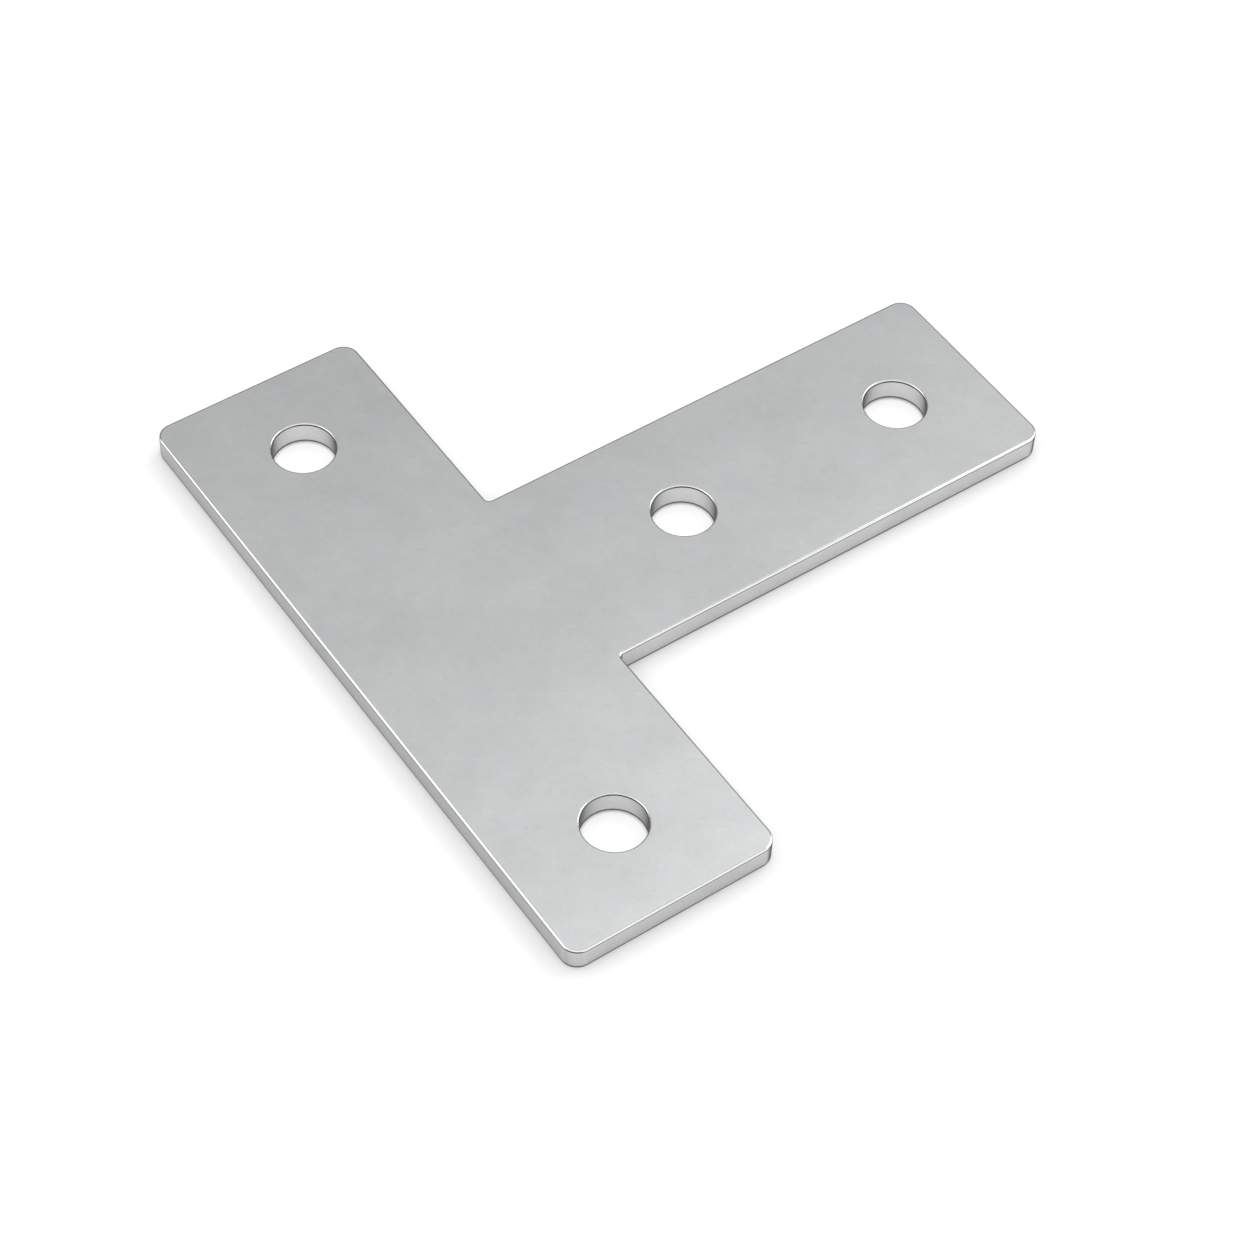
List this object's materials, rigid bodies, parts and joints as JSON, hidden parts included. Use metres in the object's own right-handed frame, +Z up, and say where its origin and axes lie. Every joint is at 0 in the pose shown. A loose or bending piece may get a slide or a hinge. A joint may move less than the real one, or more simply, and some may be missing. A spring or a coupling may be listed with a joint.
{
  "type": "extrusion joining plate",
  "caption": "Flat T-shaped steel joining plate with rounded corners and round bolt holes, for bolting one aluminium extrusion square across another.",
  "frame": {"origin": "where the centre lines of the crossbar and the stem cross, on the back face that lies against the profiles", "axes": "+X runs along the stem, away from the crossbar; Y runs along the crossbar; +Z points up out of the front face, under the bolt heads"},
  "size_m": [0.098, 0.098, 0.0035],
  "materials": {
    "plate_metal": "satin, bright zinc-plated steel with softened edges"
  },
  "bodies": {
    "root": {"joining_plate": "plate_metal"}
  },
  "joints": []
}
